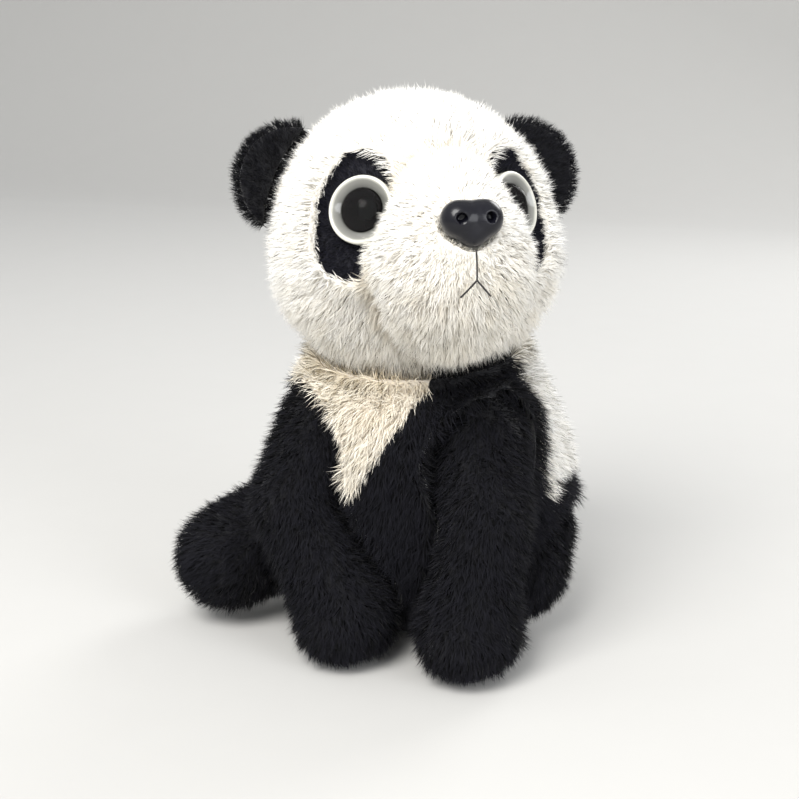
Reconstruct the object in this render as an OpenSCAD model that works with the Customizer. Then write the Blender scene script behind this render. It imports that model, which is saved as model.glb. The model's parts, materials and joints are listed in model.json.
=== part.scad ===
// Sitting panda cub in long-pile plush: a stuffed torso, head, four legs, two ears and a tail,
// with safety eyes and a safety nose. +Z is up, the chest faces -Y and +X is the panda's left.
// The origin is the centre of the flat seat that the panda sits on.

/* [Torso] */
// Radius of the belly over its pile
belly_r = 47; // [42:1:52]
// How much of the belly is pressed flat where the panda sits
belly_press = 3; // [2:0.5:5]
// Radius of the chest over its pile
chest_r = 41; // [36:1:44]
// Height of the chest's centre above the belly's centre
chest_rise = 20; // [14:1:26]
// How far the chest leans forward of the belly
chest_lean = 8; // [4:1:12]
// Radius of the flat seat panel
seat_r = 22; // [18:1:24]
// Thickness of the seat panel
seat_t = 4; // [3:0.5:6]
// Height of the lower tip of the chest bib
bib_tip_z = 51.5; // [46:0.5:60]
// Half the width of the chest bib at its top
bib_half = 21.5; // [14:0.5:26]

/* [Head] */
// Radius of the head over its pile
head_r = 42; // [36:1:50]
// Depth of the head from face to back, as a share of its width
head_depth = 0.92; // [0.86:0.02:1]
// How deep the head sits in the chest
neck_sink = 25; // [20:1:28]
// Turn of the head to the panda's left
head_yaw = 32.5; // [0:1:45]
// Lift of the nose above level
head_pitch = 11; // [0:1:20]
// Radius of the lower muzzle
muzzle_r = 22.5; // [19:0.5:25]
// Radius of the bridge between the eyes
bridge_r = 14.5; // [12:0.5:16]
// Radius of the round ears
ear_r = 16; // [13:1:20]
// Thickness of one ear panel
ear_t = 3.2; // [2.5:0.1:4]

/* [Eyes and nose] */
// Radius of the pale eye ring
eye_r = 9.5; // [8:0.5:11]
// Radius of the iris disc
iris_r = 5.8; // [5:0.1:7]
// Radius of the pupil disc
pupil_r = 2.9; // [2:0.1:3.6]
// Distance of each eye from the middle of the face
eye_x = 20.3; // [19:0.1:25]
// Turn of each eye away from straight ahead
eye_out = 35; // [25:1:42]
// Half the distance between the two lobes of the nose
nose_lobe_x = 3.2; // [2.6:0.1:4.2]
// Radius of a nose lobe
nose_lobe_r = 5.0; // [4.4:0.1:5.8]

/* [Legs and tail] */
// Radius of the shoulder
shoulder_r = 16; // [14:1:17]
// Radius of the elbow
elbow_r = 13.5; // [12:0.5:15]
// Radius of the front paw
paw_r = 16.5; // [13:0.5:18]
// Radius of the haunch
haunch_r = 19; // [17:0.5:21]
// Radius of the hind foot
foot_r = 17; // [14:0.5:18]
// Radius of the tail
tail_r = 8; // [6:0.5:10]

/* [Making] */
// Thickness of the plush on the torso and head, backing cloth and packed pile together
plush_t = 5; // [4:0.5:7]
// Thickness of the plush on the legs, muzzle and tail
limb_plush_t = 4; // [3:0.5:5]
// Thickness of the short-pile eye patch
patch_t = 2.5; // [1.5:0.5:3]
// Thickness of the neck gusset
neck_t = 2; // [1.5:0.5:3]
// Radius of the mouth thread
thread_r = 0.25; // [0.2:0.05:0.5]
// Clearance between parts that move
move_gap = 0.5; // [0.4:0.1:0.8]
// Clearance between parts that are sewn or pressed together
sewn_gap = 0.1; // [0.05:0.05:0.2]

/* [Hidden] */
$fn = 64;
torso_fn = 32;
limb_fn = 20;
stuffing_fn = 16;
fibre_fn = 12;                      // loose fibre needs no finer shape
fibre_core_fn = 20;
fibre_gap = 0.5;                    // more than the depth of a facet on the cover's inside
socket_steps = 2;
black = [0.05, 0.05, 0.07];
white = [0.97, 0.97, 0.95];
cream = [0.90, 0.86, 0.78];
fibre = [0.92, 0.92, 0.88];
far = 200;

// torso places
belly_y = 2;
belly_z = belly_r - belly_press;
belly_c = [0, belly_y, belly_z];
chest_c = [0, belly_y - chest_lean, belly_z + chest_rise];
yoke_y = chest_c[1] - 8;            // the shoulder band ends here and the white back begins
bib_x = -9;                         // the bib hangs to the panda's right, away from the turned head
bib_left_z = chest_c[2] + 20;       // heights of the bib's two upper corners
bib_right_z = chest_c[2] + 14;
neck_edge_in = 1.5;                 // above its left corner the bib's edge leans this far outward
neck_edge_z = chest_c[2] + 27;      // the yoke ends here on the left, under the chin
pellet_r = 13;
pellet_c = [0, 8, seat_t + pellet_r + 1];
pellet_gap = 0.5;                   // the bag lies loose in its pocket
stitch_r = 0.45;
stitch_l = 3.2;
stitch_count = 9;
stitch_step = 4;

// head places
head_c = [0, -13, chest_c[2] + chest_r + head_r - neck_sink];
neck_r = 20;
face_seam_y = 4;                    // the ear-to-ear seam, behind the middle of the head
muzzle_c = [0, 4 - head_r, -9];
bridge_c = [0, 5 - head_r, 7];
chin_c = muzzle_c + [0, 4, -5];
chin_r = muzzle_r - 2;
cheek_r = head_r - 11.5;
cheek_c = [12.5, -3, -6];
brow_r = head_r - 18;
brow_c = [0, -14, 13];
ear_at = [head_r - 7.5, 2, 17];
ear_gap = 1.4;

// eye places, in the head's frame
eye_y = 15 - head_r;
eye_z = 6;
eye_tilt = 8;
ring_h = 3.6;
rim_r = 1.6;
iris_t = 0.8;
iris_z = 1.6;
pupil_t = 0.4;
pupil_in = 1.8;                     // the pupils look a little inward
lens_r = 7.4;
lens_rise = 3;
lens_z = iris_z + iris_t + pupil_t + sewn_gap;
shank_r = 2.2;
shank_l = 10;
pocket_h = 24;
washer_r = 7;
washer_t = 1.5;
// the eye patch is drawn round three discs: each one's place beside and above the eye, and radius
patch_discs = [[2, 1, eye_r + 2.5], [3, -8, eye_r + 2], [1, 8, eye_r - 0.5]];
patch_fn = 32;

// nose places, in the head's frame
nose_c = [0, muzzle_c[1] - 20, 0.5];
nose_lobe_z = 0.8;
nose_chin_r = 4.2;
nose_chin_z = -2.2;
nostril_r = 1.4;
nostril_in = -2.5;
nostril_splay = 20;
nose_shank_l = 8;
nose_washer_y = nose_lobe_r + 0.2;  // how far behind the nose its washer grips
nose_washer_r = 5.5;
nose_fn = 32;
mouth_top = 6;                      // where the mouth thread starts and forks, in degrees
mouth_fork = -13;
mouth_branch = 15;
mouth_splay = 42;

// leg places: the left one of each pair first
shoulder_in = 18;
shoulder_x = chest_r - shoulder_in;
shoulder_y = chest_c[1] - 16;
shoulder_z = chest_c[2] + 2;
elbow_x = shoulder_x + 6.5;
hip_at = [29, 1, belly_z - 11];
foot_at = [[31.6, -8, 22], [-56, -25.5, 20.5]];
leg_room = 6;                       // between an elbow and the haunch behind it
elbow_y = hip_at[1] - haunch_r - elbow_r - leg_room;
elbow_z = belly_z + 1;
paw_lean = 7.05;                    // both front paws stand this far to the panda's left
paw_gap = 4.3;
paw_x = [paw_lean + paw_r + paw_gap / 2, paw_lean - paw_r - paw_gap / 2];
paw_y = foot_at[0][1] - foot_r - paw_r + 0.5;
wrist_y = (elbow_y + paw_y) / 2;
paw_z = paw_r - 2.5;                // the sole is pressed flat by this much
toe_y = paw_y - 5;
toe_r = paw_r - 3;
swing_angle = 28;                   // a foreleg swings this far forward
spread_angle = 12;                  // a hind leg swings this far outward
socket_slack = 0.4;                 // the stuffing keeps this much further off a limb
fill_r = 3;
fill_fn = 16;
tail_at = [0, belly_y + belly_r - 4, belly_z - 16];
tail_way = [0, 9, -4];
tail_root_r = tail_r + 0.5;

function side(s, pair) = pair[s > 0 ? 0 : 1];
function foreleg_points(s) = [
    [s * shoulder_x, shoulder_y, shoulder_z],
    [s * elbow_x, elbow_y, elbow_z],
    [(s * elbow_x + side(s, paw_x)) / 2, wrist_y, (elbow_z + paw_z) / 2],
    [side(s, paw_x), paw_y, paw_z],
    [side(s, paw_x), toe_y, toe_r - 1.5]
];
function foreleg_radii() = [shoulder_r, elbow_r, elbow_r, paw_r, toe_r];
function hip_point(s) = [s * hip_at[0], hip_at[1], hip_at[2]];
function hind_points(s) = [hip_point(s), side(s, foot_at)];
function hind_radii() = [haunch_r, foot_r];
function tail_points() = [tail_at, tail_at + tail_way];
function tail_radii() = [tail_root_r, tail_r];

// a soft limb is a row of balls with the cloth drawn tight between them
module limb(points, radii, grow = 0, fn = limb_fn) {
    for (i = [1:len(points) - 1])
        hull() {
            translate(points[i - 1]) sphere(r = radii[i - 1] + grow, $fn = fn);
            translate(points[i]) sphere(r = radii[i] + grow, $fn = fn);
        }
}

// the room that a limb sweeps as it turns about its first ball
module socket(points, radii, angle, axis, fn, gap) {
    for (i = [1:len(points) - 1])
        hull() {
            for (k = [0:socket_steps])
                turned(points[0], k * angle / socket_steps, axis) {
                    translate(points[i - 1]) sphere(r = radii[i - 1] + gap, $fn = fn);
                    translate(points[i]) sphere(r = radii[i] + gap, $fn = fn);
                }
        }
}

// everything that follows is turned by an angle about a line through a pivot
module turned(pivot, angle, axis) {
    translate(pivot) rotate(a = angle, v = axis) translate(-pivot) children();
}

module torso_form(grow = 0, fn = torso_fn) {
    hull() {
        translate(belly_c) sphere(r = belly_r + grow, $fn = fn);
        translate(chest_c) sphere(r = chest_r + grow, $fn = fn);
    }
}

// what is cut out of the torso for the neck, legs and tail
module torso_sockets(fn = limb_fn, gap = move_gap) {
    translate(head_c) sphere(r = head_r + neck_t + move_gap + gap, $fn = torso_fn);
    for (s = [1, -1]) {
        socket(foreleg_points(s), foreleg_radii(), -swing_angle, [1, 0, 0], fn, gap);
        socket(hind_points(s), hind_radii(), s * spread_angle, [0, 0, 1], fn, gap);
    }
    translate(tail_at) sphere(r = tail_root_r + gap, $fn = fn);
}

module above(z) {
    translate([-far / 2, -far / 2, z]) cube(far);
}

module torso_shell() {
    difference() {
        intersection() {
            torso_form();
            above(seat_t + sewn_gap);
        }
        torso_form(-plush_t);
        torso_sockets();
    }
}

module front_half() {
    translate([-far / 2, yoke_y - sewn_gap / 2 - far, -far / 2]) cube(far);
}

module bib_prism(grow = 0) {
    right = bib_x - bib_half - grow;
    left = bib_x + bib_half + grow;
    rotate([90, 0, 0]) translate([0, 0, -far / 2]) linear_extrude(far)
        polygon([
            [bib_x, bib_tip_z - grow], [left, bib_left_z - grow], [left + neck_edge_in, neck_edge_z - grow],
            [far, neck_edge_z - grow], [far, far], [-far, far], [-far, bib_right_z - grow],
            [right, bib_right_z - grow]
        ]);
}

module torso_yoke() {
    color(black) difference() {
        intersection() {
            torso_shell();
            front_half();
        }
        bib_prism(sewn_gap);
    }
}

module bib_panel() {
    color(cream) intersection() {
        torso_shell();
        front_half();
        bib_prism();
    }
}

module torso_back() {
    color(white) intersection() {
        torso_shell();
        translate([-far / 2, yoke_y + sewn_gap / 2, -far / 2]) cube(far);
    }
}

module seat_panel() {
    color(black) cylinder(r = seat_r, h = seat_t);
}

module torso_stuffing() {
    color(fibre) difference() {
        intersection() {
            torso_form(-plush_t - fibre_gap, fibre_core_fn);
            above(seat_t + 2 * sewn_gap);
        }
        torso_sockets(stuffing_fn, move_gap + socket_slack);
        hull() {
            translate(pellet_c) sphere(r = pellet_r + pellet_gap, $fn = limb_fn);
            translate([pellet_c[0], pellet_c[1], 0]) cylinder(r = pellet_r, h = seat_t, $fn = limb_fn);
        }
    }
}

module pellet_bag() {
    color(cream) translate(pellet_c) sphere(r = pellet_r);
}

// the ladder stitch that closes the back once the stuffing is in
module closing_stitches() {
    color(white) translate(belly_c)
        for (i = [0:stitch_count - 1])
            rotate([(i - 0.5) * stitch_step, 0, 0])
                translate([-stitch_l / 2, belly_r + stitch_r + sewn_gap, 0]) rotate([0, 90, 0])
                    cylinder(r = stitch_r, h = stitch_l);
}

module neck_gusset() {
    color(white) translate(head_c) intersection() {
        difference() {
            sphere(r = head_r + move_gap + neck_t);
            sphere(r = head_r + move_gap);
        }
        translate([0, 0, -far]) cylinder(r = neck_r, h = far);
    }
}

module at_head() {
    translate(head_c) rotate([-head_pitch, 0, head_yaw]) children();
}

module at_eye(s) {
    translate([s * eye_x, eye_y, eye_z]) rotate([90 - eye_tilt, 0, s * eye_out]) children();
}

// the patch is round at the eye and droops down and outward in a drop
module patch_form(s, thick, grow = 0) {
    hull()
        for (disc = patch_discs)
            translate([s * disc[0], disc[1], 0]) cylinder(r = disc[2] + grow, h = thick, $fn = patch_fn);
}

module eye_pockets(grow = sewn_gap) {
    for (s = [1, -1])
        at_eye(s) translate([0, 0, -patch_t - sewn_gap]) patch_form(s, pocket_h, grow);
}

// the muzzle bulges over the edges of the patches and stops at the eyes
module eye_room() {
    for (s = [1, -1])
        at_eye(s) {
            translate([0, 0, -patch_t - 2 * sewn_gap]) patch_form(s, patch_t + 3 * sewn_gap, 2 * sewn_gap);
            cylinder(r = eye_r + move_gap, h = lens_z + lens_rise + move_gap, $fn = patch_fn);
        }
}

module head_behind_muzzle() {
    difference() {
        head_form(sewn_gap);
        eye_pockets(-sewn_gap);
    }
}

module washer_pockets() {
    for (s = [1, -1])
        at_eye(s) translate([0, 0, -shank_l - 3]) cylinder(r = washer_r + sewn_gap, h = shank_l + 3);
}

// a ball with full cheeks and a raised brow
module head_form(grow = 0, fn = torso_fn) {
    for (at = [cheek_c, [-cheek_c[0], cheek_c[1], cheek_c[2]], brow_c])
        hull() {
            scale([1, head_depth, 1]) sphere(r = head_r + grow, $fn = fn);
            translate(at) sphere(r = (at == brow_c ? brow_r : cheek_r) + grow, $fn = min(fn, limb_fn));
        }
}

module head_shell() {
    difference() {
        head_form();
        head_form(-plush_t);
        eye_pockets();
    }
}

module head_face() {
    color(white) at_head() intersection() {
        head_shell();
        translate([-far / 2, face_seam_y - sewn_gap / 2 - far, -far / 2]) cube(far);
    }
}

module head_back() {
    color(white) at_head() intersection() {
        head_shell();
        translate([-far / 2, face_seam_y + sewn_gap / 2, -far / 2]) cube(far);
    }
}

module head_stuffing() {
    color(fibre) at_head() difference() {
        head_form(-plush_t - fibre_gap, fibre_core_fn);
        eye_pockets();
        washer_pockets();
    }
}

module muzzle_form(grow = 0) {
    limb([bridge_c, muzzle_c, chin_c], [bridge_r, muzzle_r, chin_r], grow);
}

module nose_form(grow = 0) {
    for (s = [1, -1])
        translate(nose_c + [s * nose_lobe_x, 0, nose_lobe_z]) sphere(r = nose_lobe_r + grow);
    translate(nose_c + [0, 0, nose_chin_z]) sphere(r = nose_chin_r + grow);
}

module behind_nose(r, from, long) {
    translate(nose_c + [0, from, 0]) rotate([-90, 0, 0]) cylinder(r = r, h = long);
}

// the room that the nose, its shank and its washer take in the muzzle
module nose_room() {
    $fn = nose_fn;
    nose_form(sewn_gap);
    behind_nose(shank_r + sewn_gap, 0, nose_shank_l + 1);
    behind_nose(nose_washer_r + sewn_gap, nose_washer_y - sewn_gap, nose_shank_l);
}

module muzzle_cover() {
    color(white) at_head() difference() {
        muzzle_form();
        muzzle_form(-limb_plush_t);
        head_behind_muzzle();
        eye_room();
        nose_room();
    }
}

module muzzle_stuffing() {
    color(fibre) at_head() difference() {
        muzzle_form(-limb_plush_t - sewn_gap);
        head_behind_muzzle();
        eye_room();
        nose_room();
    }
}

module nose() {
    color(black) at_head() difference() {
        union() {
            nose_form();
            behind_nose(shank_r, 0, nose_shank_l);
        }
        for (s = [1, -1])
            translate(nose_c + [s * nose_lobe_x, nostril_in, nose_lobe_z])
                rotate([90, 0, s * nostril_splay]) cylinder(r = nostril_r, h = nose_lobe_r * 2);
    }
}

module nose_washer() {
    color(white) at_head() difference() {
        behind_nose(nose_washer_r, nose_washer_y, washer_t);
        behind_nose(shank_r + sewn_gap, 0, nose_shank_l + 1);
    }
}

module thread_arc(from, to) {
    rotate([0, 90, 0]) rotate([0, 0, -90 - from]) rotate_extrude(angle = from - to)
        translate([muzzle_r + thread_r + sewn_gap, 0]) circle(r = thread_r);
}

module mouth_thread() {
    color(black) at_head() translate(muzzle_c) {
        thread_arc(mouth_top, mouth_fork);
        for (s = [1, -1])
            rotate([-mouth_fork, 0, 0]) rotate([0, s * mouth_splay, 0]) thread_arc(0, -mouth_branch);
    }
}

module eye_patch(s) {
    color(black) at_head() at_eye(s) translate([0, 0, -patch_t]) difference() {
        patch_form(s, patch_t);
        translate([0, 0, -1]) cylinder(r = shank_r + sewn_gap, h = patch_t + 2);
    }
}

// the pale cup with its rolled rim, and the shank that goes through the cloth
module eye_ring(s) {
    color(cream) at_head() at_eye(s) translate([0, 0, sewn_gap]) {
        rotate_extrude() difference() {
            union() {
                square([eye_r - rim_r, ring_h]);
                square([eye_r, ring_h - rim_r]);
                translate([eye_r - rim_r, ring_h - rim_r]) circle(r = rim_r, $fn = 48);
            }
            translate([0, iris_z - sewn_gap]) square([iris_r + sewn_gap, ring_h * 2]);
            translate([-far, -far]) square([far, far * 2]);
            translate([0, -far]) square([far, far]);
        }
        translate([0, 0, -shank_l]) cylinder(r = shank_r, h = shank_l + 1);
    }
}

module eye_iris(s) {
    color([0.28, 0.27, 0.27]) at_head() at_eye(s)
        translate([0, 0, iris_z + sewn_gap]) cylinder(r = iris_r, h = iris_t);
}

module eye_pupil(s) {
    color(black) at_head() at_eye(s)
        translate([-s * pupil_in, 0, iris_z + iris_t + 2 * sewn_gap]) cylinder(r = pupil_r, h = pupil_t);
}

module eye_lens(s) {
    color([0.9, 0.92, 0.95]) at_head() at_eye(s) intersection() {
        translate([0, 0, lens_z + lens_rise - lens_r]) sphere(r = lens_r);
        translate([0, 0, lens_z + 2 * sewn_gap]) cylinder(r = iris_r, h = lens_r);
    }
}

module eye_washer(s) {
    color(white) at_head() at_eye(s) translate([0, 0, -patch_t - 2 * sewn_gap - washer_t]) difference() {
        cylinder(r = washer_r, h = washer_t);
        translate([0, 0, -1]) cylinder(r = shank_r + sewn_gap, h = washer_t + 2);
    }
}

module ear_panel(s, from) {
    color(black) at_head() difference() {
        translate([s * ear_at[0], ear_at[1] + from, ear_at[2]]) rotate([-90, 0, 0])
            cylinder(r = ear_r, h = ear_t);
        sphere(r = head_r + ear_gap);
    }
}

module foreleg_cover(s) {
    color(black) difference() {
        intersection() {
            limb(foreleg_points(s), foreleg_radii());
            above(0);
        }
        intersection() {
            limb(foreleg_points(s), foreleg_radii(), -limb_plush_t);
            above(limb_plush_t - 1);
        }
        filling_hole(foreleg_points(s)[0], shoulder_r);
    }
}

// each limb is filled through a hole in its root, which faces the middle of the body
module filling_hole(root, r) {
    inside = r - 1.5 * limb_plush_t;
    translate(root) rotate([0, 0, atan2(belly_y - root[1], -root[0])]) translate([inside, 0, 0])
        rotate([0, 90, 0]) cylinder(r = fill_r, h = limb_plush_t * 3, $fn = fill_fn);
}

module foreleg_stuffing(s) {
    color(fibre) intersection() {
        limb(foreleg_points(s), foreleg_radii(), -limb_plush_t - fibre_gap, fibre_fn);
        above(limb_plush_t - 1 + sewn_gap);
    }
}

module hind_leg_cover(s) {
    color(black) difference() {
        limb(hind_points(s), hind_radii());
        limb(hind_points(s), hind_radii(), -limb_plush_t);
        filling_hole(hip_point(s), haunch_r);
    }
}

module hind_leg_stuffing(s) {
    color(fibre) limb(hind_points(s), hind_radii(), -limb_plush_t - fibre_gap, fibre_fn);
}

module tail_cover() {
    color(white) difference() {
        limb(tail_points(), tail_radii());
        limb(tail_points(), tail_radii(), -limb_plush_t);
        filling_hole(tail_at, tail_root_r);
    }
}

module tail_stuffing() {
    color(fibre) limb(tail_points(), tail_radii(), -limb_plush_t - fibre_gap, fibre_fn);
}

torso_yoke();
torso_back();
bib_panel();
seat_panel();
torso_stuffing();
pellet_bag();
closing_stitches();
neck_gusset();
head_face();
head_back();
head_stuffing();
muzzle_cover();
muzzle_stuffing();
nose();
nose_washer();
mouth_thread();
eye_patch(1);  // eye_patch_left
eye_patch(-1);  // eye_patch_right
eye_ring(1);  // eye_ring_left
eye_ring(-1);  // eye_ring_right
eye_iris(1);  // eye_iris_left
eye_iris(-1);  // eye_iris_right
eye_pupil(1);  // eye_pupil_left
eye_pupil(-1);  // eye_pupil_right
eye_lens(1);  // eye_lens_left
eye_lens(-1);  // eye_lens_right
eye_washer(1);  // eye_washer_left
eye_washer(-1);  // eye_washer_right
ear_panel(1, -ear_t - sewn_gap / 2);  // ear_front_left
ear_panel(-1, -ear_t - sewn_gap / 2);  // ear_front_right
ear_panel(1, sewn_gap / 2);  // ear_back_left
ear_panel(-1, sewn_gap / 2);  // ear_back_right
foreleg_cover(1);  // foreleg_left_cover
foreleg_stuffing(1);  // foreleg_left_stuffing
foreleg_cover(-1);  // foreleg_right_cover
foreleg_stuffing(-1);  // foreleg_right_stuffing
hind_leg_cover(1);  // hind_leg_left_cover
hind_leg_stuffing(1);  // hind_leg_left_stuffing
hind_leg_cover(-1);  // hind_leg_right_cover
hind_leg_stuffing(-1);  // hind_leg_right_stuffing
tail_cover();
tail_stuffing();
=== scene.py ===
import json
import math
import time

import bmesh
import bpy
import numpy as np
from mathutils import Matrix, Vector
from mathutils.bvhtree import BVHTree
from mathutils.kdtree import KDTree


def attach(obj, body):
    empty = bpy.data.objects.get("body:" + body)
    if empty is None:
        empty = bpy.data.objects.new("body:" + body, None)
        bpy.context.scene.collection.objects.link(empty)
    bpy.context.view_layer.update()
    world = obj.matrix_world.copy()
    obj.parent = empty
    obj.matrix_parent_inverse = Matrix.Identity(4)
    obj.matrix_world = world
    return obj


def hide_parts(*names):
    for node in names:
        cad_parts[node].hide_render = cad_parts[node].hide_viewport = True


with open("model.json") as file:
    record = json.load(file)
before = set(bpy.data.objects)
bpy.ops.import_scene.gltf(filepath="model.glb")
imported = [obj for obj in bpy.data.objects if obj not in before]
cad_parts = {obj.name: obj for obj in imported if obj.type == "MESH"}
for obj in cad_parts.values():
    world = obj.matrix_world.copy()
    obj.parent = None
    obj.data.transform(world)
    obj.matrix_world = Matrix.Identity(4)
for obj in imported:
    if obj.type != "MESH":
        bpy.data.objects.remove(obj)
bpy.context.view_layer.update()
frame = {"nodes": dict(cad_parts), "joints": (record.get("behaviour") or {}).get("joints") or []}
nodes = frame["nodes"]
joints = {joint["name"]: joint for joint in frame["joints"]}
mm = 0.001
startedAt = time.time()


def say(stage):
    print(f"{time.time() - startedAt:6.1f} s  {stage}")


# camera, floor and light

view = {
    "turn": 18.0,                     # degrees round the panda from straight ahead
    "rise": 15.0,                     # degrees above level
    "distance": 0.420,
    "aim": (-0.0045, -0.012, 0.072),   # from the middle of the seat
    "lens": 62.4,
    "floorColor": (0.50, 0.495, 0.48),
    "worldStrength": 0.86,
}


def makeCamera():
    camera = bpy.data.objects.new("camera", bpy.data.cameras.new("camera"))
    bpy.context.scene.collection.objects.link(camera)
    bpy.context.scene.camera = camera
    turn, rise = math.radians(view["turn"]), math.radians(view["rise"])
    back = Vector((math.sin(turn) * math.cos(rise), -math.cos(turn) * math.cos(rise), math.sin(rise)))
    camera.location = Vector(view["aim"]) + back * view["distance"]
    camera.rotation_euler = back.to_track_quat("Z", "Y").to_euler()
    camera.data.lens = view["lens"]
    camera.data.sensor_width = 36
    camera.data.clip_start = 0.01


def addMesh(name, points, faces):
    data = bpy.data.meshes.new(name)
    data.from_pydata([tuple(p) for p in points], [], [tuple(f) for f in faces])
    data.update()
    piece = bpy.data.objects.new(name, data)
    bpy.context.scene.collection.objects.link(piece)
    return piece


def makeLight(name, where, size, power, color):
    data = bpy.data.lights.new(name, "AREA")
    data.shape = "DISK"
    data.size = size
    data.energy = power
    data.color = color
    lamp = bpy.data.objects.new(name, data)
    bpy.context.scene.collection.objects.link(lamp)
    lamp.location = where
    lamp.rotation_euler = (Vector(where) - Vector((0, 0, 0.09))).to_track_quat("Z", "Y").to_euler()


makeCamera()
makeLight("keyLight", (-0.12, -0.66, 0.80), 0.6, 12.5, (1, 0.985, 0.96))
makeLight("fillLight", (0.85, -0.5, 0.35), 0.6, 4, (0.95, 0.97, 1))
makeLight("rimLight", (0.3, 0.8, 0.6), 0.5, 4, (1, 1, 1))
world = bpy.data.worlds.new("studio")
bpy.context.scene.world = world
world.use_nodes = True
world.node_tree.nodes["Background"].inputs["Color"].default_value = (0.86, 0.87, 0.88, 1)
world.node_tree.nodes["Background"].inputs["Strength"].default_value = view["worldStrength"]
bpy.context.scene.view_settings.view_transform = "Standard"
say("camera and light")

# materials


# a wrapped socket: sums written on it become Math nodes
class Sock:
    def __init__(self, kit, socket):
        self.kit = kit
        self.socket = socket

    def join(self, operation, first, second):
        return self.kit.node("ShaderNodeMath", {"operation": operation}, {0: first, 1: second})

    def __add__(self, other):
        return self.join("ADD", self, other)

    def __radd__(self, other):
        return self.join("ADD", other, self)

    def __sub__(self, other):
        return self.join("SUBTRACT", self, other)

    def __rsub__(self, other):
        return self.join("SUBTRACT", other, self)

    def __mul__(self, other):
        return self.join("MULTIPLY", self, other)

    def __rmul__(self, other):
        return self.join("MULTIPLY", other, self)

    def __pow__(self, other):
        return self.join("POWER", self, other)


class Kit:
    def __init__(self, name, **shader):
        self.material = bpy.data.materials.new(name)
        self.material.use_nodes = True
        self.tree = self.material.node_tree
        self.shader = self.tree.nodes["Principled BSDF"]
        for key, value in shader.items():
            self.shader.inputs[key.replace("_", " ")].default_value = value

    # any node: settings are set first, a ramp's stops among them, then each socket's value or link
    def node(self, kind, settings=None, sockets=None, out=0):
        new = self.tree.nodes.new(kind)
        for key, value in (settings or {}).items():
            if key == "stops":
                ramp = new.color_ramp
                while len(ramp.elements) < len(value):
                    ramp.elements.new(0.5)
                for element, (place, color) in zip(ramp.elements, value):
                    element.position = place
                    element.color = (*color, 1)
            else:
                setattr(new, key, value)
        for key, value in (sockets or {}).items():
            self.feed(new.inputs[key], value)
        return Sock(self, new.outputs[out])

    def feed(self, target, value):
        if isinstance(value, Sock):
            self.tree.links.new(value.socket, target)
        elif isinstance(value, (tuple, list)) and len(value) == 3 and target.type == "RGBA":
            target.default_value = (*value, 1)
        else:
            target.default_value = value

    def mix(self, factor, first, second, blend="MIX"):
        return self.node("ShaderNodeMix", {"data_type": "RGBA", "blend_type": blend},
                         {0: factor, 6: first, 7: second}, out=2)

    def noise(self, scale, detail=3.0):
        place = self.node("ShaderNodeTexCoord", out="Object")
        return self.node("ShaderNodeTexNoise", {}, {"Vector": place, "Scale": scale, "Detail": detail})

    def ramp(self, value, stops):
        return self.node("ShaderNodeValToRGB", {"stops": stops}, {0: value})

    def paintColor(self, value):
        self.feed(self.shader.inputs["Base Color"], value)

    def bump(self, height, strength, distance):
        made = self.node("ShaderNodeBump", {}, {"Strength": strength, "Distance": distance, "Height": height})
        self.feed(self.shader.inputs["Normal"], made)


def gray(value):
    return (value, value, value)


# the pile: its map holds the strand's own tone across and root to tip upward. The darker roots are painted
# shade deep in the pile, the paler bluish tips of the black piles are a painted highlight, and the low end of
# the tone ramp carries the painted shade of creases and folds as well as the random tone
def makePile(name, root, middle, tip, dull, half, sheen):
    kit = Kit(name, Roughness=0.85, Sheen_Weight=sheen, Sheen_Roughness=0.45)
    kit.shader.inputs["Specular IOR Level"].default_value = 0.25
    place = kit.node("ShaderNodeUVMap", {"uv_map": "OFBake"})
    parts = kit.tree.nodes.new("ShaderNodeSeparateXYZ")
    kit.tree.links.new(place.socket, parts.inputs[0])
    across, up = Sock(kit, parts.outputs[0]), Sock(kit, parts.outputs[1])
    along = kit.ramp(up, [(0.0, root), (0.45, middle), (1.0, tip)])
    shade = kit.ramp(across, [(0.0, dull), (0.55, half), (1.0, gray(1.0))])
    kit.paintColor(kit.mix(1.0, along, shade, "MULTIPLY"))
    return kit.material


def makeCloth(name, color, other, scale=900.0):
    kit = Kit(name, Roughness=0.95, Sheen_Weight=0.3)
    fleck = kit.noise(scale, 2.0)
    kit.paintColor(kit.mix(fleck, color, other))
    kit.bump(fleck, 0.4, 0.0006)
    return kit.material


def makePlastic(name, color, other, rough, coat=0.0, grain=60.0, bump=0.02, shine=0.5):
    kit = Kit(name, Roughness=rough, Coat_Weight=coat, Coat_Roughness=0.04)
    kit.shader.inputs["Specular IOR Level"].default_value = shine
    mottle = kit.noise(grain, 4.0)
    kit.paintColor(kit.mix(mottle, color, other))
    kit.bump(kit.noise(grain * 20, 2.0), bump, 0.0002)
    return kit.material


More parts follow.
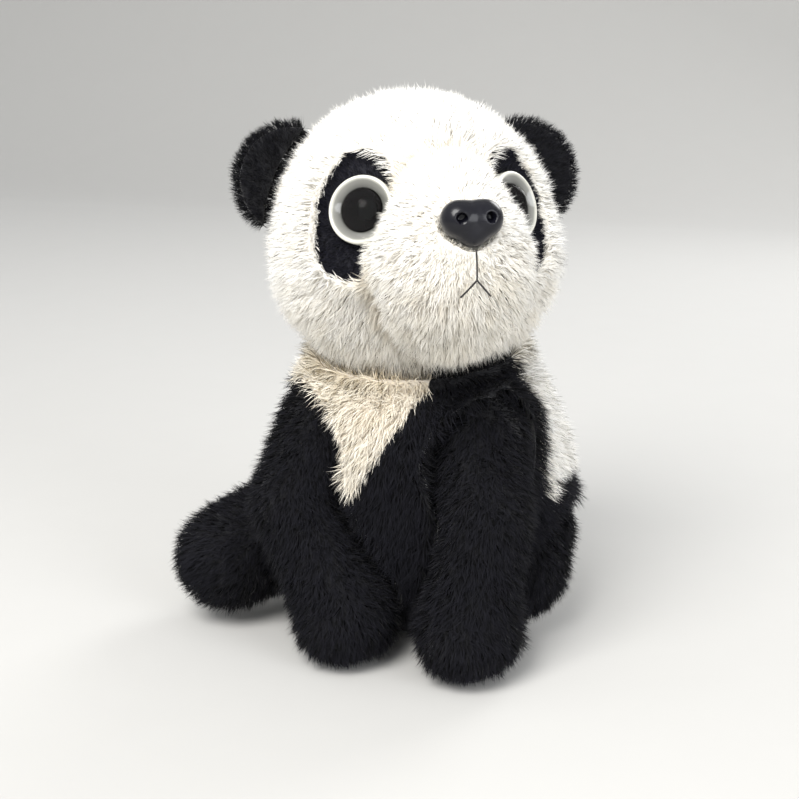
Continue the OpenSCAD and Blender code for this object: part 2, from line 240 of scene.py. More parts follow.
pileLooks = {
    # the roots' darker colours are painted shade deep in the pile
    "white": makePile("whitePile", (0.86, 0.83, 0.77), (0.95, 0.94, 0.91), (0.99, 0.985, 0.97),
                      (0.50, 0.43, 0.33), (0.92, 0.88, 0.80), 0.10),
    "cream": makePile("creamPile", (0.80, 0.73, 0.61), (0.92, 0.87, 0.77), (0.97, 0.93, 0.85),
                      (0.45, 0.38, 0.30), (0.85, 0.80, 0.70), 0.10),
    # the paler bluish tips of the black and patch piles are a painted highlight
    "black": makePile("blackPile", (0.0015, 0.0015, 0.002), (0.004, 0.004, 0.007), (0.010, 0.010, 0.017),
                      gray(0.35), gray(0.7), 0.03),
    "patch": makePile("patchPile", (0.002, 0.002, 0.004), (0.004, 0.004, 0.010), (0.011, 0.011, 0.024),
                      gray(0.35), gray(0.7), 0.03),
}
clothLooks = {
    "white": makeCloth("whiteCloth", (0.74, 0.71, 0.65), (0.84, 0.82, 0.77)),
    "cream": makeCloth("creamCloth", (0.66, 0.59, 0.49), (0.78, 0.71, 0.61)),
    "black": makeCloth("blackCloth", (0.003, 0.003, 0.004), (0.008, 0.008, 0.011)),
    "patch": makeCloth("patchCloth", (0.003, 0.003, 0.006), (0.008, 0.008, 0.016)),
    "fibre": makeCloth("looseFibre", (0.82, 0.81, 0.78), (0.93, 0.93, 0.91), 200.0),
    "bag": makeCloth("pelletCloth", (0.62, 0.58, 0.50), (0.74, 0.70, 0.61), 500.0),
}
irisPrint = makePlastic("irisPrint", (0.002, 0.002, 0.002), (0.005, 0.004, 0.004), 0.16, 0.0, 300.0,
                        shine=0.12)
pupilPrint = makePlastic("pupilPrint", (0.001, 0.001, 0.001), (0.002, 0.002, 0.002), 0.3, shine=0.1)
nosePlastic = makePlastic("nosePlastic", (0.002, 0.002, 0.004), (0.005, 0.005, 0.010), 0.3, 0.12, 90.0,
                          0.08, 0.3)
washerPlastic = makePlastic("washerPlastic", (0.75, 0.75, 0.72), (0.82, 0.82, 0.80), 0.5)
mouthCotton = makeCloth("mouthCotton", (0.010, 0.008, 0.008), (0.030, 0.026, 0.024), 3000.0)
seamCotton = makeCloth("seamCotton", (0.70, 0.68, 0.62), (0.84, 0.82, 0.77), 3000.0)


def makeDome():
    kit = Kit("clearDome", Roughness=0.02, Alpha=0.07, Coat_Weight=0.5, Coat_Roughness=0.02)
    kit.paintColor(kit.mix(kit.noise(80.0), (0.004, 0.004, 0.005), (0.008, 0.008, 0.009)))
    return kit.material


clearDome = makeDome()
floorCloth = makeCloth("floorPaint", view["floorColor"], tuple(c * 1.02 for c in view["floorColor"]), 40.0)


def makeFloor():
    side, back, high, steps = 3.0, 1.2, 2.4, 16
    profile = [(-side, 0.0)]
    for i in range(steps + 1):
        angle = math.pi / 2 * i / steps
        profile.append((back - 0.3 + 0.3 * math.sin(angle), 0.3 - 0.3 * math.cos(angle)))
    profile.append((back, high))
    points = [(x, y, z) for x in (-side, side) for y, z in profile]
    count = len(profile)
    faces = [(i, i + 1, i + 1 + count, i + count) for i in range(count - 1)]
    floor = addMesh("floor", points, faces)
    floor.data.materials.append(floorCloth)
    for face in floor.data.polygons:
        face.use_smooth = True


makeFloor()
say("materials and floor")

# where things are

headAt = np.array(joints["head_turn"]["pos_m"])
nodAxis = np.array(joints["head_nod"]["axis"])


def verticesOf(name):
    mesh = nodes[name].data
    flat = np.empty(len(mesh.vertices) * 3, np.float32)
    mesh.vertices.foreach_get("co", flat)
    return flat.reshape(-1, 3).astype(float)


def unit(v):
    return v / np.maximum(np.linalg.norm(v, axis=-1, keepdims=True), 1e-12)


# an eye's own frame: the middle of its iris, the way it looks, and two ways across it
def eyeFrame(side):
    points = verticesOf(f"eye_iris_{side}")
    middle = (points.min(0) + points.max(0)) / 2
    looks = np.linalg.svd(points - points.mean(0), full_matrices=False)[2][2]
    looks = looks if looks @ (middle - headAt) > 0 else -looks
    across = unit(np.cross([0, 0, 1], looks))
    return middle, looks, across, np.cross(looks, across)


eyes = {side: eyeFrame(side) for side in ("left", "right")}
nosePoints = verticesOf("nose")
# the head's frame: x to the panda's left, y to the back of the head, z up through the crown
headX = unit(nodAxis)
headY = -(eyes["left"][1] + eyes["right"][1])
headY = unit(headY - (headY @ headX) * headX)
headTurn = np.array([headX, headY, np.cross(headX, headY)])


def toHead(points):
    return (points - headAt) @ headTurn.T / mm


def treeOf(nodeName):
    mesh = nodes[nodeName].data
    return BVHTree.FromPolygons([v.co for v in mesh.vertices], [list(p.vertices) for p in mesh.polygons])


# how far points are from the nearest of some nodes, in mm, up to a limit
def gapTo(nodeNames, points, limit=20.0):
    gap = np.full(len(points), limit)
    for nodeName in nodeNames:
        low, high = verticesOf(nodeName).min(0) - limit * mm, verticesOf(nodeName).max(0) + limit * mm
        near = np.flatnonzero(((points > low) & (points < high)).all(1))
        tree = treeOf(nodeName)
        for row in near:
            found = tree.find_nearest(Vector(points[row]), gap[row] * mm)
            if found[3] is not None:
                gap[row] = min(gap[row], found[3] / mm)
    return gap


# how much room the pile has before it meets another part, in mm
def roomBefore(nodeNames, points, facing, reach=7.0):
    room = np.full(len(points), 2 * reach)
    for nodeName in nodeNames:
        low, high = verticesOf(nodeName).min(0) - reach * mm, verticesOf(nodeName).max(0) + reach * mm
        tree = treeOf(nodeName)
        for row in np.flatnonzero(((points > low) & (points < high)).all(1)):
            found = tree.find_nearest(Vector(points[row]), reach * mm)
            if found[3] is not None:
                way = np.array(found[0]) - points[row]
                if found[3] < 1.0 * mm or way @ facing[row] > 0.3 * found[3]:
                    room[row] = min(room[row], found[3] / mm)
    return room


# backing cloth

skins = {
    "voxel": 1.5,                     # mm; how finely a skin is drawn round the CAD's solids
    "headVoxel": 1.2,
    "earVoxel": 0.9,
    "smoothing": 6,
    "torsoRoom": 3.0,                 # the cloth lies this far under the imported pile
    "limbRoom": 2.6,
    "headRoom": 3.0,
    "muzzleRoom": 2.2,
    "earRoom": 0.7,
    "patchRoom": 0.8,
}


def arraysOf(mesh):
    mesh.calc_loop_triangles()
    points = np.empty(len(mesh.vertices) * 3, np.float32)
    mesh.vertices.foreach_get("co", points)
    normals = np.empty(len(mesh.vertices) * 3, np.float32)
    mesh.vertices.foreach_get("normal", normals)
    triangles = np.empty(len(mesh.loop_triangles) * 3, np.int32)
    mesh.loop_triangles.foreach_get("vertices", triangles)
    return points.reshape(-1, 3).astype(float), normals.reshape(-1, 3).astype(float), triangles.reshape(-1, 3)


# which vertices belong to the biggest closed shell
def biggestShell(mesh):
    edges = np.empty(len(mesh.edges) * 2, np.int32)
    mesh.edges.foreach_get("vertices", edges)
    edges = edges.reshape(-1, 2)
    label = np.arange(len(mesh.vertices))
    while True:
        low = np.minimum(label[edges[:, 0]], label[edges[:, 1]])
        before = label.copy()
        np.minimum.at(label, edges[:, 0], low)
        np.minimum.at(label, edges[:, 1], low)
        label = label[label]
        if (label == before).all():
            break
    names, counts = np.unique(label, return_counts=True)
    return label == names[np.argmax(counts)]


# one closed skin drawn round some of the CAD's solids
def drawSkin(name, nodeNames, voxel, smoothing):
    points, faces, start = [], [], 0
    for nodeName in nodeNames:
        mesh = nodes[nodeName].data
        points.append(verticesOf(nodeName))
        faces += [[start + v for v in face.vertices] for face in mesh.polygons]
        start += len(mesh.vertices)
    draft = addMesh(name + "Draft", np.concatenate(points), faces)
    remesh = draft.modifiers.new("remesh", "REMESH")
    remesh.mode = "VOXEL"
    remesh.voxel_size = voxel * mm
    smooth = draft.modifiers.new("smooth", "SMOOTH")
    smooth.factor = 0.5
    smooth.iterations = smoothing
    bpy.context.view_layer.update()
    made = bpy.data.meshes.new_from_object(draft.evaluated_get(bpy.context.evaluated_depsgraph_get()))
    bpy.data.objects.remove(draft)
    keep = biggestShell(made)
    kept = np.cumsum(keep) - 1
    faces = [[kept[v] for v in face.vertices] for face in made.polygons if keep[face.vertices[0]]]
    return addMesh(name, arraysOf(made)[0][keep], faces)


# the row of the cover that each point lies nearest to
def coverAt(points, coverNames):
    if len(coverNames) == 1:
        return np.zeros(len(points), int)
    return np.stack([gapTo([coverName], points) for coverName in coverNames], 1).argmin(1)


# sinks a skin under its pile
def sinkSkin(piece, room):
    points, normals, triangles = arraysOf(piece.data)
    depth = room(points) if callable(room) else np.full(len(points), room)
    piece.data.vertices.foreach_set("co", (points - normals * depth[:, None] * mm).astype(np.float32).ravel())
    piece.data.update()


# cuts a skin into one cloth piece for each cover, which stands for that cover
def layCloth(piece, body, covers, room, claim=None):
    sinkSkin(piece, room)
    points, normals, triangles = arraysOf(piece.data)
    faces = [list(face.vertices) for face in piece.data.polygons]
    middles = np.array([points[face].mean(0) for face in faces])
    owner = coverAt(middles, list(covers))
    owner = owner if claim is None else claim(middles, owner)
    for index, coverName in enumerate(covers):
        mine = [face for face, o in zip(faces, owner) if o == index]
        used = np.unique(np.concatenate(mine))
        place = {old: new for new, old in enumerate(used)}
        part = addMesh(f"{coverName}_cloth", points[used], [[place[v] for v in face] for face in mine])
        part.data.shade_smooth()
        part.data.materials.append(clothLooks[covers[coverName]["look"]])
        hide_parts(coverName)
        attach(part, body)
    bpy.data.objects.remove(piece)
    return points, normals, triangles


# pile

segments = 2                          # a strand is a tapered ribbon of this many pieces
strandShare = 40000                   # the most strands in one piece


def meshFromArrays(name, points, loops, starts, maps, normals):
    data = bpy.data.meshes.new(name)
    data.vertices.add(len(points))
    data.vertices.foreach_set("co", points.astype(np.float32).ravel())
    data.loops.add(len(loops))
    data.loops.foreach_set("vertex_index", loops.astype(np.int32))
    data.polygons.add(len(starts))
    data.polygons.foreach_set("loop_start", starts.astype(np.int32))
    data.update(calc_edges=True)
    data.validate()
    data.shade_smooth()
    layer = data.uv_layers.new(name="OFBake")
    layer.uv.foreach_set("vector", maps.astype(np.float32).ravel())
    data.normals_split_custom_set_from_vertices(normals.astype(np.float32))
    piece = bpy.data.objects.new(name, data)
    bpy.context.scene.collection.objects.link(piece)
    return piece


def flatten(wish, normals):
    return unit(wish - (wish * normals).sum(1, keepdims=True) * normals)


# the strands for some root points: tufts lean together and their tips draw in
def strandArrays(roots, normals, comb, look, rng, length, lean, tone):
    count = len(roots)
    tufts = max(8, int(count / look["perTuft"]))
    chosen = rng.choice(count, tufts, replace=False)
    tree = KDTree(tufts)
    for i, c in enumerate(chosen):
        tree.insert(roots[c], i)
    tree.balance()
    tuft = np.array([tree.find(p)[1] for p in roots])
    toward = roots[chosen][tuft] - roots
    toward -= (toward * normals).sum(1, keepdims=True) * normals
    toward *= np.minimum(1, 2 * mm / np.maximum(np.linalg.norm(toward, axis=1, keepdims=True), 1e-9))
    tuftBend = flatten(rng.normal(size=(tufts, 3))[tuft], normals) * rng.uniform(0, 1, tufts)[tuft, None]
    ownBend = flatten(rng.normal(size=(count, 3)), normals)
    size = length * rng.uniform(1 - look["ragged"], 1 + look["ragged"] * 0.6, count)
    tuftSize = rng.uniform(1 - look["tuftRagged"], 1 + look["tuftRagged"] * 0.5, tufts)[tuft, None]
    size = size[:, None] * mm * tuftSize
    lean = lean[:, None]
    first = unit(normals * (1.15 - lean) + comb * lean + ownBend * look["ownBend"] * 0.5)
    last = unit(normals * (0.85 - 0.6 * lean) + comb * (0.2 + lean) + tuftBend * look["tuftBend"]
                + ownBend * look["ownBend"] + np.array([0, 0, -look["droop"]]))
    across = unit(np.cross(first, normals + 1e-4))
    roll = rng.normal(0, look["roll"], count)[:, None]
    width = look["width"] * mm * rng.uniform(0.7, 1.25, count)[:, None]
    rows, shades = [], []
    for k in range(segments + 1):
        t = k / segments
        place = roots + size * (first * (t - t * t / 2) + last * (t * t / 2))
        place = place + toward * look["tuftPull"] * t ** 1.3
        along = unit(first * (1 - t) + last * t)
        ribbon = unit(across * np.cos(roll) + np.cross(along, across) * np.sin(roll))
        face = unit(np.cross(ribbon, along))
        face = np.where((face * normals).sum(1, keepdims=True) < 0, -face, face)
        shade = unit(normals * look["roundness"] + face * (1 - look["roundness"]))
        half = ribbon * width / 2 * (1 - 0.5 * t)
        rows += [place - half, place + half] if k < segments else [place]
        shades += [shade, shade] if k < segments else [shade]
    shadeAt = tone + rng.normal(0, look["tuftTone"], tufts)[tuft] + rng.normal(0, look["ownTone"], count)
    return np.stack(rows, 1), np.stack(shades, 1), np.clip(shadeAt, 0.02, 0.98)


def strandPiece(name, rows, shades, shadeAt):
    count, perStrand = rows.shape[:2]
    loops, corners, sizes = [], [], []
    for k in range(segments - 1):
        loops += [2 * k, 2 * k + 1, 2 * k + 3, 2 * k + 2]
        corners += [(-1, k), (1, k), (1, k + 1), (-1, k + 1)]
        sizes.append(4)
    loops += [2 * segments - 2, 2 * segments - 1, 2 * segments]
    corners += [(-1, segments - 1), (1, segments - 1), (0, segments)]
    sizes.append(3)
    loopIds = (np.array(loops)[None] + np.arange(count)[:, None] * perStrand).ravel()
    starts = np.concatenate([[0], np.cumsum(np.tile(sizes, count))[:-1]])
    corners = np.array(corners, float)
    u = shadeAt[:, None] + corners[None, :, 0] * 0.006
    v = 0.03 + 0.94 * corners[None, :, 1] / segments + 0 * u
    return meshFromArrays(name, rows.reshape(-1, 3), loopIds, starts,
                          np.stack([u, v], -1).reshape(-1, 2), shades.reshape(-1, 3))


pileKinds = {
    "plush": {"perSquare": 4.2, "length": 6.0, "lean": 0.42, "width": 0.24, "perTuft": 30, "tuftPull": 0.30,
              "tuftBend": 0.55, "ownBend": 0.38, "ragged": 0.22, "tuftRagged": 0.22, "droop": 0.15, "roll": 0.8,
              "roundness": 0.70, "tuftTone": 0.06, "ownTone": 0.06, "tone": 0.7, "fill": 0.8},
    "velvet": {"perSquare": 6.0, "length": 2.6, "lean": 0.35, "width": 0.20, "perTuft": 16, "tuftPull": 0.25,
               "tuftBend": 0.35, "ownBend": 0.35, "ragged": 0.2, "tuftRagged": 0.15, "droop": 0.0, "roll": 0.8,
               "roundness": 0.55, "tuftTone": 0.12, "ownTone": 0.14, "tone": 0.5, "fill": 0.6},
}


def pile(kind, look, slot, **changes):
    return {**pileKinds[kind], "look": look, "slot": slot, **changes}


# scatters roots over a skin and grows the pile of each cover on it; trim may thin, shorten or turn it
def growPile(skin, body, covers, combOf, seed, trim=None, others=(), claim=None):
    points, normals, triangles = skin
    corners = points[triangles]
    crossed = np.cross(corners[:, 1] - corners[:, 0], corners[:, 2] - corners[:, 0])
    area = np.linalg.norm(crossed, axis=1) / 2 / mm / mm
    owner = coverAt(corners.mean(1), list(covers))
    owner = owner if claim is None else claim(corners.mean(1), owner)
    for index, (coverName, look) in enumerate(covers.items()):
        rng = np.random.default_rng(seed + index)
        mine = np.flatnonzero(owner == index)
        count = int(area[mine].sum() * look["perSquare"])
        picked = mine[rng.choice(len(mine), count, p=area[mine] / area[mine].sum())]
        a, b = rng.random(count), rng.random(count)
        a, b = np.where(a + b > 1, 1 - a, a), np.where(a + b > 1, 1 - b, b)
        weights = np.stack([1 - a - b, a, b], 1)[:, :, None]
        roots = (points[triangles[picked]] * weights).sum(1)
        facing = unit((normals[triangles[picked]] * weights).sum(1))
        room = roomBefore(others, roots, facing)
        keep = room > 0.9
        roots, facing, room = roots[keep], facing[keep], room[keep]
        grown = {"length": np.minimum(look["length"], 1.1 * room), "lean": np.full(len(roots), look["lean"]),
                 "tone": np.full(len(roots), look["tone"]), "comb": combOf(roots, facing),
                 "keep": np.ones(len(roots), bool)}
        if trim is not None:
            trim(coverName, roots, facing, grown)
        keep = grown["keep"]
        comb = flatten(grown["comb"][keep], facing[keep])
        rows, shades, shadeAt = strandArrays(roots[keep], facing[keep], comb, look, rng, grown["length"][keep],
                                             grown["lean"][keep], grown["tone"][keep])
        parts = math.ceil(len(rows) / strandShare)
        around = np.arctan2(rows[:, 0, 0] - headAt[0], rows[:, 0, 1] - headAt[1])
        order = np.argsort(around, kind="stable")
        for part in range(parts):
            some = order[part * len(order) // parts:(part + 1) * len(order) // parts]
            piece = strandPiece(f"{coverName}_pile" + (f"_{part + 1}" if parts > 1 else ""),
                                rows[some], shades[some], shadeAt[some])
            piece.data.materials.append(pileLooks[look["look"]])
            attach(piece, body)
        say(f"{coverName}: {len(rows)} strands")


# torso

torsoCovers = {
    "torso_yoke": pile("plush", "black", "black_plush"),
    "torso_back": pile("plush", "white", "white_plush", tone=0.85),
    "bib_panel": pile("plush", "cream", "cream_plush", length=5.5, tone=0.85),
    "seat_panel": pile("velvet", "black", "black_plush", length=1.6, perSquare=2.0),
}
limbNames = ("foreleg_left", "foreleg_right", "hind_leg_left", "hind_leg_right", "tail")
limbCoverNames = [name + "_cover" for name in limbNames]
legCoverNames = [name for name in limbCoverNames if name != "tail_cover"]
torsoShape = {
    "hollowRadius": 45.0,             # mm; the hollow that the head sits in
    "legGap": 0.6,                    # the cloth is full size this near a leg, and sinks over the fade
    "fade": 3.4,
    "leastShare": 0.06,
    "seatFade": (1.0, 6.0),           # mm above the seat: where the cloth starts to sink, and over how much
    "blackByLeg": 4.0,
    "bareReach": 50.0,                # mm from the head's middle; bare under the head inside this
    "bareAside": 24.0,
    "rimFade": (56.0, 8.0),
    # mm from the head's middle, and over how much: inside it the pile is painted darker as shade in the fold
    # under the head
    "underHeadShade": (50.0, 4.0),
    "floorFade": 10.0,
}


def downComb(roots, facing):
    return np.tile([0.0, 0.12, -1.0], (len(roots), 1))


# the cloth is full size at the seat, which stays flat, and in the hollows that hold the head and legs
def torsoRoom(points):
    toHollow = np.linalg.norm(points - headAt, axis=1) / mm - torsoShape["hollowRadius"]
    toLegs = gapTo(limbCoverNames, points, 6.0) - torsoShape["legGap"]
    hollow = np.clip(np.minimum(toHollow, toLegs) / torsoShape["fade"], torsoShape["leastShare"], 1.0)
    start, length = torsoShape["seatFade"]
    return skins["torsoRoom"] * hollow * np.clip((points[:, 2] / mm - start) / length, 0.0, 1.0)


# no pile grows in the hollow under the head, the pile next to the head is painted darker as shade in the fold
# under it, and none pokes through the floor
def torsoTrim(coverName, roots, facing, grown):
    up = headAt - roots
    far = np.linalg.norm(up, axis=1) / mm
    under = (unit(up) * facing).sum(1)
    aside = np.linalg.norm(up[:, :2], axis=1) / mm
    grown["keep"] &= ~((far < torsoShape["bareReach"]) & (under > 0.8) & (aside < torsoShape["bareAside"]))
    rimStart, rimLength = torsoShape["rimFade"]
    shadeStart, shadeLength = torsoShape["underHeadShade"]
    rim = np.clip((rimStart - far) / rimLength, 0, 1)
    # painted shade in the fold under the head
    grown["tone"] -= 0.25 * np.clip((shadeStart - far) / shadeLength, 0, 1)
    grown["lean"] *= 1 - 0.7 * rim
    low = np.clip(roots[:, 2] / mm / torsoShape["floorFade"], 0.15, 1)
    grown["length"] *= np.where(facing[:, 2] < 0.2, low, 1.0)


# the back's white cloth turns black in the hollows that the legs sit in
def blackByLegs(points, owner):
    covers = list(torsoCovers)
    byLeg = gapTo(legCoverNames, points, 6.0) < torsoShape["blackByLeg"]
    byLeg &= owner == covers.index("torso_back")
    return np.where(byLeg, covers.index("torso_yoke"), owner)


torsoSkin = drawSkin("torso", list(torsoCovers) + ["torso_stuffing", "pellet_bag"], skins["voxel"],
                     skins["smoothing"])
growPile(layCloth(torsoSkin, "torso", torsoCovers, torsoRoom, blackByLegs), "torso", torsoCovers, downComb, 11,
         torsoTrim, limbCoverNames, blackByLegs)

# the gusset's own pile fills the fold under the head; its lower tone is partly painted shade in the fold,
# partly a cream tint
neckCovers = {"neck_gusset": pile("plush", "white", "white_plush", length=6.5, lean=0.55, tone=0.6)}


def outComb(roots, facing):
    away = roots - headAt
    return away * np.array([1, 1, 0]) + np.array([0, 0, -0.004])


def neckTrim(coverName, roots, facing, grown):
    away = roots - headAt
    grown["keep"] &= (unit(away) * facing).sum(1) > 0.5
    grown["keep"] &= np.linalg.norm(away[:, :2], axis=1) > 14 * mm


growPile(arraysOf(nodes["neck_gusset"].data), "neck", neckCovers, outComb, 23, neckTrim)

# legs and tail


# pile that lies along a limb and turns outward at its end
def alongComb(start, end, spread=0.5):
    line = unit(np.array(end) - np.array(start))

    def comb(roots, facing):
        away = unit(roots - (np.array(end) - line * 0.012))
        past = np.clip(((roots - np.array(end)) @ line) / 0.012 + 1.0, 0, 1)[:, None]
        return line * (1 - past) + away * past * spread + line * 0.3

    return comb


def limbTrim(coverName, roots, facing, grown):
    low = np.clip(roots[:, 2] / mm / 8, 0.12, 1)
    grown["length"] *= np.where(facing[:, 2] < 0.3, low, 1.0)


for seed, limb in enumerate(limbNames):
    pivot = next(joint for joint in frame["joints"] if joint["name"].startswith(limb))
    root = np.array(pivot["pos_m"])
    cover = verticesOf(limb + "_cover")
    farthest = cover[np.argmax(np.linalg.norm(cover - root, axis=1))]
    white = limb == "tail"
    limbCovers = {limb + "_cover": pile("plush", "white" if white else "black",
                                        "white_plush" if white else "black_plush", length=5.6)}
    skin = drawSkin(limb, [limb + "_cover", limb + "_stuffing"], skins["voxel"], skins["smoothing"])
    growPile(layCloth(skin, limb, limbCovers, skins["limbRoom"]), limb, limbCovers, alongComb(root, farthest),
             31 + 7 * seed, limbTrim, ["torso_yoke", "torso_back"])

# ears

for seed, side in enumerate(("left", "right")):
    earCovers = {f"ear_front_{side}": pile("velvet", "black", "black_plush", length=3.6),
                 f"ear_back_{side}": pile("velvet", "black", "black_plush", length=3.6)}
    root = np.array(joints[f"ear_{side}_fold"]["pos_m"])
    tip = verticesOf(f"ear_front_{side}").mean(0) * 2 - root
    skin = drawSkin(f"ear_{side}", list(earCovers), skins["earVoxel"], skins["smoothing"])
    growPile(layCloth(skin, f"ear_{side}", earCovers, skins["earRoom"]), f"ear_{side}", earCovers,
             alongComb(root, tip), 81 + 7 * seed)

# head

headCovers = {
    "head_face": pile("plush", "white", "white_plush", perSquare=5.0, length=5.4, tone=0.85),
    "head_back": pile("plush", "white", "white_plush", perSquare=4.6, length=5.6, tone=0.85),
    "muzzle_cover": pile("plush", "white", "white_plush", perSquare=6.0, length=4.4, width=0.22, tone=0.85),
    "eye_patch_left": pile("velvet", "patch", "short_black_plush"),
    "eye_patch_right": pile("velvet", "patch", "short_black_plush"),
}
patchNames = ["eye_patch_left", "eye_patch_right"]
noseAt = toHead(nosePoints).mean(0)


headShape = {
    "eyeRadius": 9.3,                 # mm; no pile grows over an eye
    "eyeDepth": 15.0,
    # how wide, in mm, and how dark the painted shade in the crease round the muzzle is
    "creaseWidth": 4.5,
    "creaseShade": 0.50,
    "chinLonger": 0.35,
    # how much darker and creamier the pile grows toward the chin: partly painted shade under the head, partly a
    # cream tint
    "chinShadeAndTint": 0.30,
}


# the cloth comes up to the eye patches and lies close round the nose
def headRoom(points):
    patch = gapTo(patchNames, points, 8.0)
    nose = gapTo(["nose"], points, 14.0)
    muzzle = gapTo(["muzzle_cover"], points, 3.0)
    room = np.where(muzzle < 1.5, skins["muzzleRoom"], skins["headRoom"])
    room = skins["patchRoom"] + (room - skins["patchRoom"]) * np.clip((patch - 1.5) / 4, 0, 1)
    return np.minimum(room, 1.2 + nose / 6)


# the pile runs away from the nose, up over the brow and down over the cheeks
def headComb(roots, facing):
    place = toHead(roots)
    away = unit(place - (noseAt + np.array([0, 8, 0])))
    crown = np.clip((place[:, 2] - 5) / 20, 0, 1)[:, None]
    way = (away + np.array([0, 0.2, -0.35])) * (1 - crown) + (away + np.array([0, 0.5, 0.1])) * crown
    return way @ headTurn


def headTrim(coverName, roots, facing, grown):
    for middle, looks, across, up in eyes.values():
        offset = roots - middle
        depth = offset @ looks
        radius = np.linalg.norm(offset - depth[:, None] * looks, axis=1) / mm
        # only round the eye itself, not at the back of the head
        radius = np.where(depth > -headShape["eyeDepth"] * mm, radius, 100.0)
        grown["keep"] &= radius > headShape["eyeRadius"]
        if "patch" in coverName:
            grown["comb"] = np.where(radius[:, None] < 16, offset, grown["comb"])
        else:
            # the muzzle's own pile leans out over the eye's inner edge
            over = coverName == "muzzle_cover"
            grown["length"] = grown["length"] * np.clip((radius - 8) / 8, 1.0 if over else 0.4, 1)
            grown["lean"] += 0.25 * over * (radius < 13)
    if "patch" in coverName:
        return
    nose = gapTo(["nose"], roots, 14.0)
    mouth = gapTo(["mouth_thread"], roots, 5.0)
    grown["keep"] &= nose > 0.6
    grown["length"] *= np.clip(0.35 + nose / 16, 0, 1) * np.clip(0.2 + mouth / 5, 0.35, 1)
    patch = gapTo(patchNames, roots, 6.0)
    grown["lean"] *= 1 - 0.3 * np.clip((6 - patch) / 4, 0, 1)
    # painted shade: the pile darkens in the crease between the muzzle and the face
    crease = gapTo(["muzzle_cover" if coverName != "muzzle_cover" else "head_face"], roots, 5.0)
    width = headShape["creaseWidth"]
    grown["tone"] -= headShape["creaseShade"] * np.clip((width - crease) / width, 0, 1)
    under = np.clip((-toHead(roots)[:, 2] - 24) / 10, 0, 1)
    grown["length"] *= 1 + headShape["chinLonger"] * under
    # darker and creamier toward the chin: partly painted shade under the head, partly a cream tint
    grown["tone"] -= headShape["chinShadeAndTint"] * np.clip((-toHead(roots)[:, 2] - 10) / 28, 0, 1)
    grown["lean"] *= 1 - 0.4 * under


headSkin = drawSkin("head", list(headCovers) + ["head_stuffing", "muzzle_stuffing"], skins["headVoxel"], 5)
growPile(layCloth(headSkin, "head", headCovers, headRoom), "head", headCovers, headComb, 101, headTrim)

# nose and eyes

noseShape = {
    "front": 2.0,                     # mm behind the nose's middle; only what lies forward of it is faired
    "nostrilAside": 3.9,
    "nostrilRise": 1.4,
    "nostrilRadius": 1.6,
    "nostrilFade": 0.8,
    "fairing": 0.8,                   # the share of the way to a taut skin
}


# the moulded nose: the CAD's lobes flow together into a rounded triangle round the nostrils
def fairNose(piece):
    points = arraysOf(piece.data)[0]
    shell = bmesh.new()
    for point in nosePoints:
        shell.verts.new(point)
    made = bmesh.ops.convex_hull(shell, input=shell.verts)
    bmesh.ops.delete(shell, geom=made["geom_interior"], context="VERTS")
    tree = BVHTree.FromBMesh(shell)
    shell.free()
    place = toHead(points) - noseAt
    front = np.clip((noseShape["front"] - place[:, 1]) / noseShape["front"], 0, 1)
    nostril = np.hypot(np.abs(place[:, 0]) - noseShape["nostrilAside"], place[:, 2] - noseShape["nostrilRise"])
    beyond = np.clip((nostril - noseShape["nostrilRadius"]) / noseShape["nostrilFade"], 0, 1)
    pull = front * beyond * noseShape["fairing"]
    for row in np.flatnonzero(pull > 0):
        found = tree.find_nearest(Vector(points[row]))
        points[row] += (np.array(found[0]) - points[row]) * pull[row]
    piece.data.vertices.foreach_set("co", points.astype(np.float32).ravel())
    piece.data.update()


noseSkin = drawSkin("nose_moulded", ["nose"], 0.3, 12)
fairNose(noseSkin)
noseSkin.data.shade_smooth()
noseSkin.data.materials.append(nosePlastic)
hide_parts("nose")
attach(noseSkin, "head")

eyeShape = {
    "rimRadius": 9.4,                 # mm
    "rimRoll": 0.7,
    "dishRadius": 5.9,
    "steps": 72,
}


# a turned piece about an eye's line of sight; a profile is radius and height from the iris, in mm
def turnedPiece(name, side, profile, look, nodeName):
    middle, looks, across, up = eyes[side]
    points, faces = [], []
    for i in range(eyeShape["steps"]):
        angle = 2 * math.pi * i / eyeShape["steps"]
        way = across * math.cos(angle) + up * math.sin(angle)
        points += [middle + (way * r + looks * h) * mm for r, h in profile]
    count, total = len(profile), len(profile) * eyeShape["steps"]
    for i in range(eyeShape["steps"]):
        for k in range(count - 1):
            a, b = i * count + k, (i * count + k + count) % total
            faces.append((a, b, b + 1, a + 1))
    piece = addMesh(name, points, faces)
    piece.data.shade_smooth()
    piece.data.materials.append(look)
    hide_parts(nodeName)
    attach(piece, "head")
    return piece


def arc(radius, height, size, first, last, steps=8):
    angles = [math.radians(first + (last - first) * i / steps) for i in range(steps + 1)]
    return [(radius + size * math.cos(a), height + size * math.sin(a)) for a in angles]


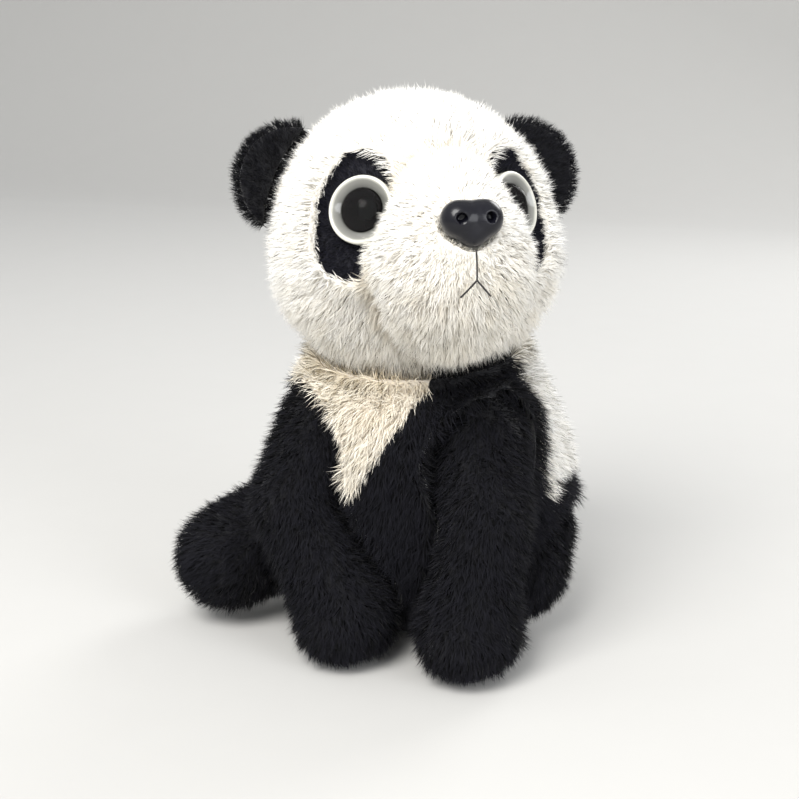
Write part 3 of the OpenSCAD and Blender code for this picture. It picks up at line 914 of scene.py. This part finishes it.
# pale at the rim and grayer down the dish
def makeRing(side):
    middle, looks = eyes[side][:2]
    kit = Kit(f"ringPlastic_{side}", Roughness=0.16, Coat_Weight=0.6, Coat_Roughness=0.05)
    place = kit.node("ShaderNodeTexCoord", out="Object")
    offset = kit.node("ShaderNodeVectorMath", {"operation": "SUBTRACT"}, {0: place, 1: tuple(middle)})
    aside = kit.node("ShaderNodeVectorMath", {"operation": "CROSS_PRODUCT"}, {0: offset, 1: tuple(looks)})
    radius = kit.node("ShaderNodeVectorMath", {"operation": "LENGTH"}, {0: aside}, out="Value")
    share = radius * (1 / (eyeShape["rimRadius"] * mm)) + kit.noise(400.0) * 0.03
    kit.paintColor(kit.ramp(share, [(0.62, (0.05, 0.05, 0.047)), (0.70, (0.13, 0.13, 0.12)),
                                    (0.86, (0.22, 0.22, 0.20)), (0.94, (0.66, 0.65, 0.58))]))
    kit.bump(kit.noise(1500.0), 0.02, 0.0002)
    return kit.material


ringLooks = {side: makeRing(side) for side in eyes}
for side in ("left", "right"):
    rim, roll, dish = eyeShape["rimRadius"], eyeShape["rimRoll"], eyeShape["dishRadius"]
    ringProfile = [(rim, -2.0), (rim, 0.3)] + arc(rim - roll, 0.6, roll, 0, 150)
    ringProfile += [(dish + 0.3, 0.35), (dish, -0.3)]
    turnedPiece(f"eye_ring_{side}_turned", side, ringProfile, ringLooks[side],
                f"eye_ring_{side}")

looksByNode = {"nose_washer": washerPlastic, "mouth_thread": mouthCotton, "closing_stitches": seamCotton,
               "neck_gusset": clothLooks["white"], "pellet_bag": clothLooks["bag"]}
for side in ("left", "right"):
    looksByNode.update({f"eye_iris_{side}": irisPrint, f"eye_pupil_{side}": pupilPrint,
                        f"eye_lens_{side}": clearDome, f"eye_washer_{side}": washerPlastic})
for name in nodes:
    if name.endswith("stuffing"):
        looksByNode[name] = clothLooks["fibre"]
for name, look in looksByNode.items():
    nodes[name].data.materials.clear()
    nodes[name].data.materials.append(look)
say("small parts")

bpy.context.view_layer.update()
